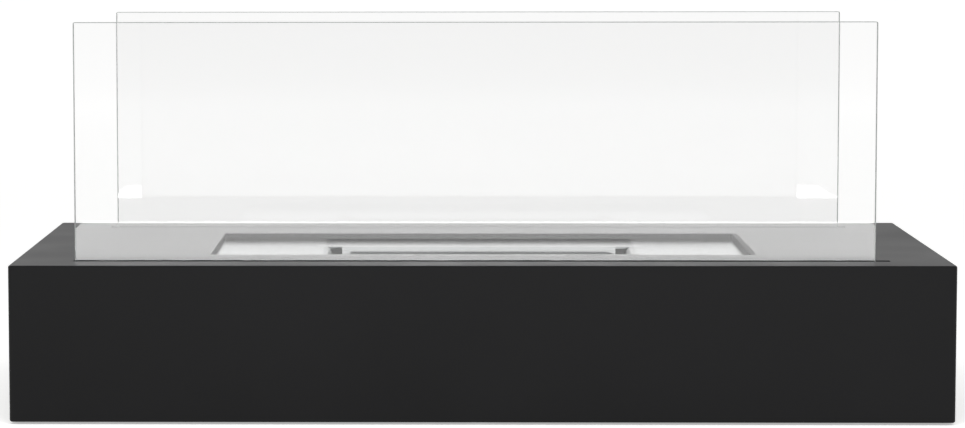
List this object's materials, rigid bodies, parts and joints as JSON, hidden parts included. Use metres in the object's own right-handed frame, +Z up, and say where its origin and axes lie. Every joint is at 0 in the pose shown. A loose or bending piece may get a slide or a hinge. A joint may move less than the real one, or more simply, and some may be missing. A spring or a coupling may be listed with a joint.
{
  "type": "bioethanol fireplace",
  "caption": "Low black steel table fireplace with a drop-in polished burner between clear glass panes that lift out of slots.",
  "frame": {"origin": "on the surface it stands on, under the middle of the casing", "axes": "+X to the right along the casing, +Y to the back, +Z up; the front faces -Y"},
  "size_m": [0.6, 0.3, 0.2545],
  "materials": {
    "black_powder_coat": "satin black powder coat",
    "zinc_plated_steel": "bright zinc plate",
    "polished_stainless": "polished to a soft mirror",
    "mill_stainless": "cold-rolled, dull",
    "clear_glass": "clear, toughened, ground edges",
    "black_silicone": "matt",
    "black_rubber": "matt",
    "ceramic_fibre": "matt white pressed fibre board"
  },
  "bodies": {
    "casing": {"casing": "black_powder_coat", "ledge_frame": "black_powder_coat", "base_plate": "black_powder_coat", "base_screw_1": "zinc_plated_steel", "base_screw_2": "zinc_plated_steel", "base_screw_3": "zinc_plated_steel", "base_screw_4": "zinc_plated_steel", "base_screw_5": "zinc_plated_steel", "base_screw_6": "zinc_plated_steel", "weld_nut_1": "zinc_plated_steel", "weld_nut_2": "zinc_plated_steel", "weld_nut_3": "zinc_plated_steel", "weld_nut_4": "zinc_plated_steel", "weld_nut_5": "zinc_plated_steel", "weld_nut_6": "zinc_plated_steel", "foot_1": "black_rubber", "foot_2": "black_rubber", "foot_3": "black_rubber", "foot_4": "black_rubber", "front_glass_channel": "zinc_plated_steel", "front_glass_liner": "black_silicone", "rear_glass_channel": "zinc_plated_steel", "rear_glass_liner": "black_silicone"},
    "front_pane": {"front_glass": "clear_glass"},
    "rear_pane": {"rear_glass": "clear_glass"},
    "burner": {"burner_plate": "polished_stainless", "burner_tank": "mill_stainless", "fibre_block": "ceramic_fibre", "flame_mesh": "mill_stainless", "mesh_support_right": "mill_stainless", "mesh_support_left": "mill_stainless", "slide_rail_right": "mill_stainless", "slide_rail_left": "mill_stainless"},
    "regulator": {"regulator_slide": "mill_stainless"}
  },
  "joints": [
    {"name": "burner_lift", "type": "slide", "parent": "casing", "child": "burner", "axis": [0, 0, 1], "range_m": [0, 0.07]},
    {"name": "front_pane_lift", "type": "slide", "parent": "casing", "child": "front_pane", "axis": [0, 0, 1], "range_m": [0, 0.04]},
    {"name": "rear_pane_lift", "type": "slide", "parent": "casing", "child": "rear_pane", "axis": [0, 0, 1], "range_m": [0, 0.04]},
    {"name": "regulator_run", "type": "slide", "parent": "burner", "child": "regulator", "axis": [0, 1, 0], "range_m": [0, 0.037]}
  ]
}
